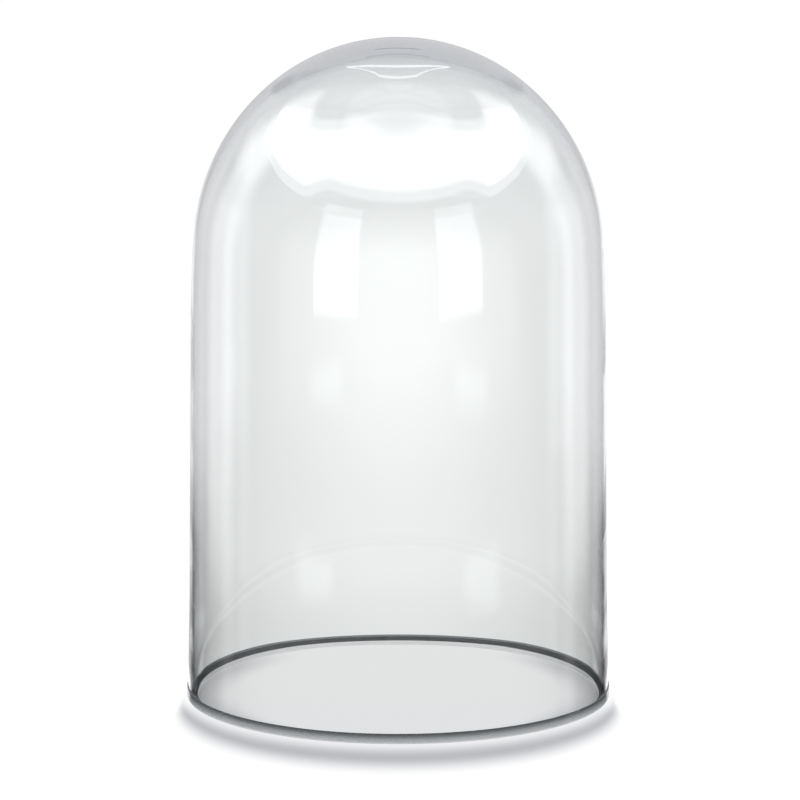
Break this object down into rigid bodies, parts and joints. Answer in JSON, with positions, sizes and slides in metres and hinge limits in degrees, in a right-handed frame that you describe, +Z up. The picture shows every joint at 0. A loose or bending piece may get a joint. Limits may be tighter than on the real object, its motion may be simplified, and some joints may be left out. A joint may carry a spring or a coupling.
{
  "type": "bell jar dome",
  "caption": "Tall clear glass bell jar dome with a domed crown, open at the bottom, its cut edge held in a clear rim ring; it stands over an exhibit on any flat base.",
  "frame": {"origin": "centre of the open mouth, on the plane that the rim ring stands on", "axes": "+Z up along the dome's axis, from the mouth to the crown; X and Y are any two directions across it, because the dome is round"},
  "size_m": [0.253, 0.253, 0.4],
  "materials": {
    "dome_glass": "clear, mouth-blown, polished",
    "clear_rim": "clear soft plastic, glossy, grey along its inner bevel"
  },
  "bodies": {
    "root": {"glass_dome": "dome_glass", "rim_ring": "clear_rim"}
  },
  "joints": []
}
